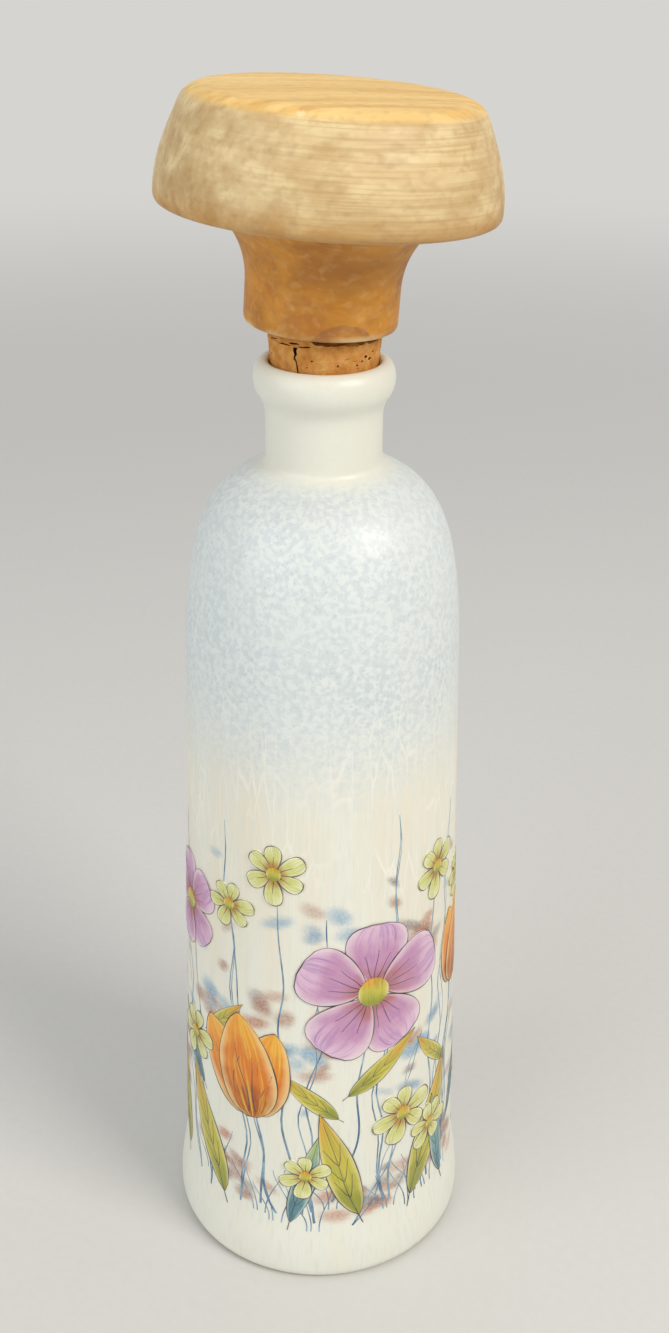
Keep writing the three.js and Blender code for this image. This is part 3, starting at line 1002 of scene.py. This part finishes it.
def knobPlace():
    return (Matrix.Translation((knobPlan["shift"] * mm, 0, knobPlan["seat"] * mm))
            @ Matrix.Rotation(math.radians(knobPlan["lean"]), 4, "Y"))


def knobLevels():
    plan = knobPlan
    capUnder = plan["stemStraight"] + plan["coveRise"]
    sideBase = capUnder + plan["capRim"]
    sideTop = sideBase + plan["capSide"]
    return {"foot": 0, "capUnder": capUnder, "sideBase": sideBase, "sideTop": sideTop,
            "capTop": sideTop + plan["capEdge"]}


def knobProfile():
    plan = knobPlan
    _, capUnder, sideBase, sideTop, capTop = knobLevels().values()
    holeRadius, holeDepth = plan["holeRadius"], plan["holeDepth"]
    stemRadius, stemEdge, stemStraight = plan["stemRadius"], plan["stemEdge"], plan["stemStraight"]
    capRadius, capRim = plan["capRadius"], plan["capRim"]
    sideTopRadius = capRadius - plan["capTaper"]
    topRadius = sideTopRadius - plan["capEdgeWidth"]
    coveRadius = capRadius - capRim - plan["undersideWidth"]
    crownTop = capTop + plan["capCrown"]
    lead = plan["capEase"] * plan["capSide"]
    tilt = math.tan(math.radians(plan["capTilt"]))
    roundness = 0.5523  # pull of a curve that follows a quarter ellipse
    return drawProfile((0, holeDepth), [
        [(holeRadius, holeDepth)],
        [(holeRadius, 0)],
        [(stemRadius - stemEdge, 0)],
        [(stemRadius, 0), (stemRadius, stemEdge)],
        [(stemRadius, stemStraight)],
        [(stemRadius, stemStraight + roundness * plan["coveRise"]),
         (coveRadius - roundness * (coveRadius - stemRadius), capUnder), (coveRadius, capUnder)],
        [(capRadius - capRim, capUnder)],
        [(capRadius, capUnder), (capRadius, sideBase)],
        [(capRadius, sideBase + lead), (sideTopRadius + lead * tilt, sideTop - lead),
         (sideTopRadius, sideTop)],
        [(sideTopRadius - plan["capEdge"] * tilt, capTop), (topRadius, capTop)],
        [(topRadius / 2, crownTop), (0, crownTop)],
    ], plan["facet"])


def nickPlace():  # on the top edge of the cap, in the knob's own frame
    plan = knobPlan
    inward, upward = plan["nickOnEdge"]
    height = knobLevels()["sideTop"] + plan["capEdge"] * upward
    radius = plan["capRadius"] - plan["capTaper"] - plan["capEdgeWidth"] * inward
    turn = math.radians(plan["nickTurn"])
    return Vector((math.sin(turn) * radius, -math.cos(turn) * radius, height)) * mm


# Lacquered beech, turned across the grain: long streaks on top, fine level lines where the side
# cuts along the fibres, cloudy end grain to the left, pale flecks, and a darker, more orange stem, partly its
# lacquer and partly painted shade under the cap.
def beechMaterial():
    look = knobPlan["beech"]
    material, shader = newMaterial("lacquered beech")
    home = knobPlace().inverted()  # back to the knob's own upright frame
    where = addNode(material, "Mapping", {0: addNode(material, "TexCoord").outputs["Object"],
                                          1: home.translation, 2: home.to_euler()})
    height = addNode(material, "SeparateXYZ", {0: where}).outputs["Z"]
    along = addNode(material, "Mapping", {0: where, 2: (0, 0, math.radians(look["grainTurn"]))})
    grains, bands, levels = {}, {}, {}
    for name, (length, width, detail, twist) in look["grains"].items():
        scale = (1 / (length * mm), 1 / (width * mm), 1 / (width * mm))
        scaled = addNode(material, "Mapping", {0: along, 3: scale})
        grains[name] = addNode(material, "TexNoise", {"Vector": scaled, "Scale": 1, "Detail": detail,
                                                      "Distortion": twist})
    for name, (level, first, second, most) in look["bands"].items():
        first, second = [(knobLevels()[level] + over) * mm for over in (first, second)]
        bands[name] = addNode(material, "MapRange", {0: height, 1: first, 2: second, 4: most})
    for name, (grain, low, high, least, most) in look["levels"].items():
        levels[name] = addNode(material, "MapRange", {0: grains[grain], 1: low, 2: high, 3: least, 4: most})
    lengthwise, spacing = 1 / (look["latheLength"] * mm), 1 / (look["latheSpacing"] * mm)
    level = addNode(material, "Mapping", {0: where, 3: (lengthwise, lengthwise, spacing)})
    lathe = addNode(material, "TexNoise", {"Vector": level, "Scale": 1, "Detail": 2})

    # growth rings, seen as faint arcs where the turning cuts them
    heart = addNode(material, "Mapping", {0: along, 1: Vector(look["ringHeart"]) * mm})
    waves = math.tau / (20 * look["ringWidth"] * mm)  # 20 is the wave texture's own measure
    rings = addNode(material, "TexWave", {"Vector": heart, "Scale": waves, "Distortion": 3, "Detail": 3,
                                          "Detail Scale": 0.8, "Detail Roughness": 0.6},
                    wave_type="RINGS", rings_direction="X")
    low, high, least, most = look["ringLevels"]
    ringShade = addNode(material, "MapRange", {0: rings, 1: low, 2: high, 3: least, 4: most})

    # side of the cap: clouds and specks of the cut fibres, stained low down, with fine level lines
    mixed = addNode(material, "Mix", {0: look["speckShare"], 2: grains["cloud"], 3: grains["speck"]})
    side = addNode(material, "ValToRGB", {0: mixed}, stops=look["side"])
    endways = addNode(material, "SeparateXYZ", {0: along}).outputs["X"]
    endGrain = addNode(material, "Math", {0: endways}, operation="ABSOLUTE")
    for name in ("soaked", "lineContrast"):
        near, far, least, most = look[name]
        radius = knobPlan["capRadius"] * mm
        levels[name] = addNode(material, "MapRange", {0: endGrain, 1: near * radius, 2: far * radius, 3: least,
                                                      4: most})
    layers = {}
    for name, grain, (low, high), most in (
        ("ends", mixed, look["endLevels"], levels["soaked"]),
        ("blotches", grains["streak"], look["blotchLevels"], bands["low"]),
        ("lines", lathe, look["latheLevels"], levels["lineContrast"]),
    ):
        layers[name] = addNode(material, "MapRange", {0: grain, 1: low, 2: high, 4: most})
    stains = addNode(material, "Math", {0: bands["handled"], 1: levels["patchy"]}, operation="MULTIPLY")

    # top: long soft streaks, warmer
    top = addNode(material, "ValToRGB", {0: grains["streak"]}, stops=look["top"])

    # stem: darker, more orange lacquer, partly painted shade under the cap, with soft blotches and one dark
    # growth ring
    low, high = look["stemLevels"]
    blotchy = addNode(material, "MapRange", {0: mixed, 1: low, 2: high})
    stem = addNode(material, "Mix", {0: blotchy, 6: hexColor(look["stemDark"]), 7: hexColor(look["stem"])},
                   data_type="RGBA")
    arcMiddle = Vector(look["arcPlace"]) * mm
    fromArc = addNode(material, "VectorMath", {0: where, 1: arcMiddle}, operation="DISTANCE")
    bent = addNode(material, "Math", {0: grains["cloud"], 1: look["arcBend"] * mm, 2: fromArc},
                   operation="MULTIPLY_ADD")
    arcRadius = (look["arcRadius"] + look["arcBend"] / 2) * mm
    rim, middle = look["arcStrength"]
    shade = addNode(material, "MapRange", {0: bent, 1: arcRadius, 2: arcRadius - look["arcRim"] * mm, 3: rim,
                                           4: middle})
    within = addNode(material, "MapRange", {0: bent, 1: arcRadius + look["arcEdge"] * mm, 2: arcRadius})
    arc = addNode(material, "Math", {0: shade, 1: within}, operation="MULTIPLY")
    stem = addNode(material, "Mix", {0: arc, 6: stem, 7: hexColor(look["arc"])}, data_type="RGBA")
    fleck = addNode(material, "Mix", {0: bands["inStem"], 6: hexColor(look["fleck"]),
                                      7: hexColor(look["stemFleck"])}, data_type="RGBA")

    # bare wood in the nick, and a pale patchy band round the foot of the stem: rubbed lacquer and a painted
    # highlight on its rounded lower edge
    wornAndLit = addNode(material, "Math", {0: bands["rubbedAndLitFoot"], 1: levels["footPatches"]}, operation="MULTIPLY")
    fromNick = addNode(material, "VectorMath", {0: where, 1: nickPlace()}, operation="DISTANCE")
    nickSize = knobPlan["nickSize"] * mm
    share, most = knobPlan["nickBare"]
    nicked = addNode(material, "MapRange", {0: fromNick, 1: nickSize, 2: nickSize * share, 4: most})
    bareAndGleam = addNode(material, "Math", {0: wornAndLit, 1: nicked}, operation="MAXIMUM")

    color = side
    for layer, over in (
        (layers["ends"], hexColor(look["endGrain"])),
        (layers["blotches"], hexColor(look["blotch"])),
        (stains, hexColor(look["stain"])),
        (layers["lines"], hexColor(look["line"])),
        (bands["onTop"], top),
        (bands["inStem"], stem),
        (ringShade, hexColor(look["blotch"])),
        (levels["flecks"], fleck),
        (bareAndGleam, hexColor(look["bareAndGleam"])),
    ):
        color = addNode(material, "Mix", {0: layer, 6: color, 7: over}, data_type="RGBA")
    strength, deep = look["pores"]
    pores = addNode(material, "Bump", {"Height": grains["fibre"], "Strength": strength, "Distance": deep * mm})
    plug(material, shader, {"Base Color": color, "Roughness": levels["roughness"], "Normal": pores,
                            "IOR": look["ior"]})
    return material


def makeKnob():
    piece = turnPiece("turned_knob", knobProfile(), knobPlan["steps"])
    nick = nickPlace()

    def dent(place):
        near = 1 - (place - nick).length / (knobPlan["nickSize"] * mm)
        inward = Vector((-nick.x, -nick.y, -nick.z * knobPlan["nickSlope"])).normalized()
        return place + inward * knobPlan["nickDepth"] * mm * max(0, near) ** 0.5

    sculpt(piece, dent)
    piece.matrix_world = knobPlace()
    pickOnly(piece)
    bpy.ops.object.transform_apply(location=True, rotation=True, scale=True)
    piece.data.materials.append(beechMaterial())
    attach(piece, "stopper")
    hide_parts("knob")
    print("knob turned:", len(piece.data.polygons), "faces")


# cork, in mm: turns in degrees from the front, heights of its breaks over the lip
corkPlan = {
    "lowRadius": 12.3,
    "bottom": corkLow.z / mm,
    "taper": 0.09,
    "bevel": 1,
    "seatGap": 0.3,
    "holeRadius": 5.1,
    "holeDepth": 15.3,
    "holeSides": 48,
    "facet": 0.5,
    "steps": 180,
    "grit": [(1.6, 0.22), (0.6, 0.1)],  # size and height of what the knife left on it
    "gritFrom": 9,  # radius, so that the hole stays clean
    "gritFade": 0.3,  # how fast it comes in above the lip
    "raggedPace": (0.16, 0.5),  # of the torn edges, by turn and by radius
    "tearFrom": -17,  # to the right of this turn the top is torn away under the wood
    "tearTo": 78,
    "tearEnds": (9, 14),
    "tearDepth": 1.9,
    "tearRagged": (0.8, 0.5),
    "tearReach": 4.5,  # inwards from the rim
    "tearRim": 1.5,
    "tearBand": (1.6, 1.2),  # how far down it reaches, and where it is full
    "flakeFrom": -76,  # to the left a torn flake stands out
    "flakeTo": -15,
    "flakeEnds": (10, 5),
    "flakeBand": 2.3,
    "flakeRagged": 0.4,
    "flakeProud": 0.9,
    "slits": [(-61, 6.5, 5.2, 0.35), (-43, 6.3, 4.6, 0.35), (-20, 6.4, 3.8, 0.45), (-54, 7.4, 3.0, 0.3),
              (-29, 7.2, 3.4, 0.45)],  # turn, height, length, gap
    "slitDepth": 2,
    "pits": [(42, 2.2, 0.5), (47, 3.2, 0.7), (53, 2.4, 0.8), (58, 4.0, 0.5), (36, 1.4, 0.4), (-12, 3.0, 0.45),
             (14, 1.8, 0.35), (84, 3.4, 0.8), (121, 2.0, 0.6), (150, 4.4, 0.9), (177, 2.6, 0.5),
             (-158, 3.6, 0.8), (-121, 2.2, 0.6), (-92, 4.2, 0.7), (-70, 2.4, 0.5)],  # turn, height, size
    "pitDepth": 1.1,
    "pitShape": (0.8, 0.55),  # width and height for its size
    "pitCorners": 7,
    "pitStep": 51,  # degrees from corner to corner
    "pitRagged": (0.6, 1.3),
    "crackTurn": -29,
    "crackDepth": 4,
    "crack": [(-0.55, 6.1), (-0.8, 5.2), (-0.45, 4.3), (-0.7, 3.4), (-0.15, 2.1), (0.05, 0.6), (0.2, -1.2),
              (0.6, -1.2), (0.45, 0.7), (0.2, 2.2), (-0.2, 3.5), (0.35, 4.4), (0.2, 5.3), (0.6, 6.1)],
    "sliver": 0.04,  # edges shorter than this are closed up after the cuts
    "colors": [(0.3, "#B07330"), (0.5, "#C58844"), (0.72, "#D4A462")],  # levels of the clouds, amber to straw
    "pit": "#5B3517",
    # painted shade deep in the breaks
    "inside": "#3A2110",
    "cellSize": 3.2,
    "grainSize": 0.7,
    "grainShare": 0.35,
    "pitSize": 2.4,
    "pitFlat": (0.55, 0.55, 1.6),  # pits lie level
    "pitLevels": (0.64, 0.7, 0, 0.85),
    "relief": (0.6, 0.25),
    "corkRough": 0.88,
    "corkShine": 0.25,
    "breakRough": 0.95,
}


def corkTop(across):  # height of the trimmed top, parallel to the leaning wood
    lean = math.tan(math.radians(knobPlan["lean"]))
    return knobPlan["seat"] - corkPlan["seatGap"] - (across - knobPlan["shift"]) * lean


# Natural cork, sawn and ground: dry and matt, honey brown with dark lenticels and open pits.
def corkMaterial():
    plan = corkPlan
    material, shader = newMaterial("natural cork")
    where = addNode(material, "TexCoord").outputs["Object"]
    cloud = addNode(material, "TexNoise", {"Vector": where, "Scale": 1 / (plan["cellSize"] * mm), "Detail": 5,
                                           "Roughness": 0.6})
    grain = addNode(material, "TexNoise", {"Vector": where, "Scale": 1 / (plan["grainSize"] * mm), "Detail": 2})
    tint = addNode(material, "ValToRGB", {0: cloud}, stops=plan["colors"])
    grained = addNode(material, "Mix", {0: plan["grainShare"], 6: tint, 7: grain.outputs["Color"]},
                      data_type="RGBA", blend_type="SOFT_LIGHT")
    flat = addNode(material, "Mapping", {0: where, 3: plan["pitFlat"]})
    bent = addNode(material, "TexNoise", {"Vector": flat, "Scale": 1 / (plan["pitSize"] * mm), "Detail": 3,
                                          "Roughness": 0.75, "Distortion": 0.8})
    low, high, least, most = plan["pitLevels"]
    pits = addNode(material, "MapRange", {0: bent, 1: low, 2: high, 3: least, 4: most})
    color = addNode(material, "Mix", {0: pits, 6: grained, 7: hexColor(plan["pit"])}, data_type="RGBA")
    depth = addNode(material, "Math", {0: grain, 1: pits}, operation="SUBTRACT")
    strength, proud = plan["relief"]
    relief = addNode(material, "Bump", {"Height": depth, "Strength": strength, "Distance": proud * mm})
    plug(material, shader, {"Base Color": color, "Roughness": plan["corkRough"], "Normal": relief,
                            "Specular IOR Level": plan["corkShine"]})
    return material


# Cork in a break: near black, as painted shade in the crack, the slits and the pits, and quite without shine.
def shadedBreakMaterial():
    material, shader = newMaterial("cork break, painted shade")
    where = addNode(material, "TexCoord").outputs["Object"]
    breakMottle = addNode(material, "TexNoise", {"Vector": where, "Scale": 1 / (corkPlan["grainSize"] * mm),
                                          "Detail": 3})
    color = addNode(material, "Mix", {0: breakMottle, 6: hexColor(corkPlan["inside"]), 7: hexColor(corkPlan["pit"])},
                    data_type="RGBA")
    plug(material, shader, {"Base Color": color, "Roughness": corkPlan["breakRough"]})
    return material


def drawnPrism(name, outline, depth):  # a flat outline in X and Z, extruded along +Y
    prism = drawLine(name, [Vector((across, 0, up)) for across, up in outline])
    bpy.ops.mesh.edge_face_add()
    bpy.ops.mesh.extrude_region_move(TRANSFORM_OT_translate={"value": (0, depth * mm, 0)})
    bpy.ops.mesh.select_all(action="SELECT")
    bpy.ops.mesh.normals_make_consistent(inside=False)
    bpy.ops.object.mode_set(mode="OBJECT")
    return prism


def corkBreaks():  # turn, depth, height and outline of one long crack, slits under the flake, and open pits
    plan = corkPlan
    breaks = [(plan["crackTurn"], plan["crackDepth"], 0, plan["crack"])]
    for turn, up, length, gap in plan["slits"]:
        outline = [(-length / 2, 0), (-length / 5, gap / 2), (length / 4, gap * 0.7), (length / 2, 0.1),
                   (length / 3, -gap * 0.2), (-length / 4, -gap / 2)]
        breaks.append((turn, plan["slitDepth"], up, outline))
    wide, tall = plan["pitShape"]
    for turn, up, size in plan["pits"]:
        ring = [(math.radians(step * plan["pitStep"]), size * random.uniform(*plan["pitRagged"]))
                for step in range(plan["pitCorners"])]
        outline = [(math.cos(a) * r * wide, math.sin(a) * r * tall) for a, r in ring]
        breaks.append((turn, plan["pitDepth"], up, outline))
    return breaks


def makeCork():
    plan = corkPlan
    top = knobPlan["seat"] - plan["seatGap"]
    topRadius = plan["lowRadius"] + plan["taper"] * (top - plan["bottom"])
    profile = drawProfile((0, plan["bottom"]), [
        [(plan["lowRadius"] - plan["bevel"], plan["bottom"])],
        [(plan["lowRadius"], plan["bottom"] + plan["bevel"])],
        [(topRadius, top)],
        [(0, top)],
    ], plan["facet"])
    piece = turnPiece("stopper_cork", profile, plan["steps"])
    lipTop = bottlePlan["lipTop"]
    tearIn, tearOut = plan["tearEnds"]
    flakeIn, flakeOut = plan["flakeEnds"]
    tearDown, tearFull = plan["tearBand"]
    tearLeast, tearMore = plan["tearRagged"]
    paceTurn, paceRadius = plan["raggedPace"]

    def weather(place):
        radius = math.hypot(place.x, place.y) / mm
        turn = math.degrees(math.atan2(place.x, -place.y))
        height = place.z / mm
        exposed = max(0, (height - lipTop) / (top - lipTop))
        rough = sum(noise.noise(place / (size * mm)) * proud for size, proud in plan["grit"])
        raised = exposed * (corkTop(place.x / mm) - top)  # the top follows the leaning wood
        ragged = noise.noise(Vector((turn * paceTurn, radius * paceRadius, 3)))
        torn = max(0, min(1, (turn - plan["tearFrom"]) / tearIn, (plan["tearTo"] - turn) / tearOut))
        rim = max(0, min(1, (radius - topRadius + plan["tearReach"]) / plan["tearRim"]))
        if height > top - tearDown:
            bite = torn * rim * plan["tearDepth"] * (tearLeast + tearMore * ragged)
            raised -= bite * min(1, (height - top + tearDown) / tearFull)
        flake = max(0, min(1, (turn - plan["flakeFrom"]) / flakeIn, (plan["flakeTo"] - turn) / flakeOut))
        if height > top - plan["flakeBand"] + ragged * plan["flakeRagged"]:
            rough += flake * plan["flakeProud"]
        if exposed == 0 or radius <= plan["gritFrom"]:
            rough = 0
        stretch = 1 + rough * exposed ** plan["gritFade"] / max(radius, 1)
        return Vector((place.x * stretch, place.y * stretch, place.z + raised * mm))

    sculpt(piece, weather)
    piece.data.materials.append(corkMaterial())
    shadedBreak = shadedBreakMaterial()
    cutters = []
    for turn, depth, up, outline in corkBreaks():
        cutter = drawnPrism("break_cutter", outline, depth * 2)
        cutter.data.materials.append(shadedBreak)
        cutter.data.transform(Matrix.Rotation(math.radians(turn), 4, "Z")
                              @ Matrix.Translation((0, -(topRadius + depth) * mm, (lipTop + up) * mm)))
        cutters.append(cutter)
    cutAway(piece, joined("break_cutters", cutters))

    bpy.ops.object.select_all(action="DESELECT")
    bpy.ops.mesh.primitive_cylinder_add(vertices=plan["holeSides"], radius=plan["holeRadius"] * mm,
                                        depth=2 * plan["holeDepth"] * mm)
    hole = bpy.context.object
    hole.matrix_world = knobPlace()
    cutAway(piece, hole)

    # slivers that the cuts leave along their edges
    pickOnly(piece)
    bpy.ops.object.mode_set(mode="EDIT")
    bpy.ops.mesh.select_face_by_sides(number=4, type="GREATER", extend=False)
    bpy.ops.mesh.quads_convert_to_tris()
    bpy.ops.mesh.select_all(action="SELECT")
    bpy.ops.mesh.dissolve_degenerate(threshold=plan["sliver"] * mm)
    bpy.ops.mesh.remove_doubles(threshold=plan["sliver"] * mm)
    bpy.ops.mesh.select_all(action="DESELECT")
    bpy.ops.mesh.select_interior_faces()
    bpy.ops.mesh.delete(type="FACE")
    bpy.ops.mesh.select_all(action="SELECT")
    bpy.ops.mesh.normals_make_consistent(inside=False)
    bpy.ops.object.mode_set(mode="OBJECT")
    bpy.ops.object.shade_smooth_by_angle(angle=math.radians(cutCrease))
    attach(piece, "stopper")
    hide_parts("cork")
    print("cork cut:", len(piece.data.polygons), "faces")


# dowel, the CAD solid with a better surface
dowelPlan = {
    "colors": [(0.3, "#BE9C68"), (0.7, "#E2CBA0")],
    "fibreWidth": 0.6,  # mm
    "fibreLength": 25,
    "fibreRelief": (0.4, 0.1),
    "roughness": 0.7,
}


# Bare birch rod: straight fine fibres along its length, pale and dry.
def birchMaterial():
    material, shader = newMaterial("bare birch")
    where = addNode(material, "TexCoord").outputs["Object"]
    across, lengthwise = 1 / (dowelPlan["fibreWidth"] * mm), 1 / (dowelPlan["fibreLength"] * mm)
    scaled = addNode(material, "Mapping", {0: where, 3: (across, across, lengthwise)})
    fibre = addNode(material, "TexNoise", {"Vector": scaled, "Scale": 1, "Detail": 4})
    color = addNode(material, "ValToRGB", {0: fibre}, stops=dowelPlan["colors"])
    strength, proud = dowelPlan["fibreRelief"]
    relief = addNode(material, "Bump", {"Height": fibre, "Strength": strength, "Distance": proud * mm})
    plug(material, shader, {"Base Color": color, "Roughness": dowelPlan["roughness"], "Normal": relief})
    return material


def dressDowel():
    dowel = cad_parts["dowel"]
    dowel.data.materials.clear()
    dowel.data.materials.append(birchMaterial())
    print("dowel dressed")


setCamera()
setStudio()
washWall(makeBottle())
paintMeadow()
makeKnob()
makeCork()
dressDowel()
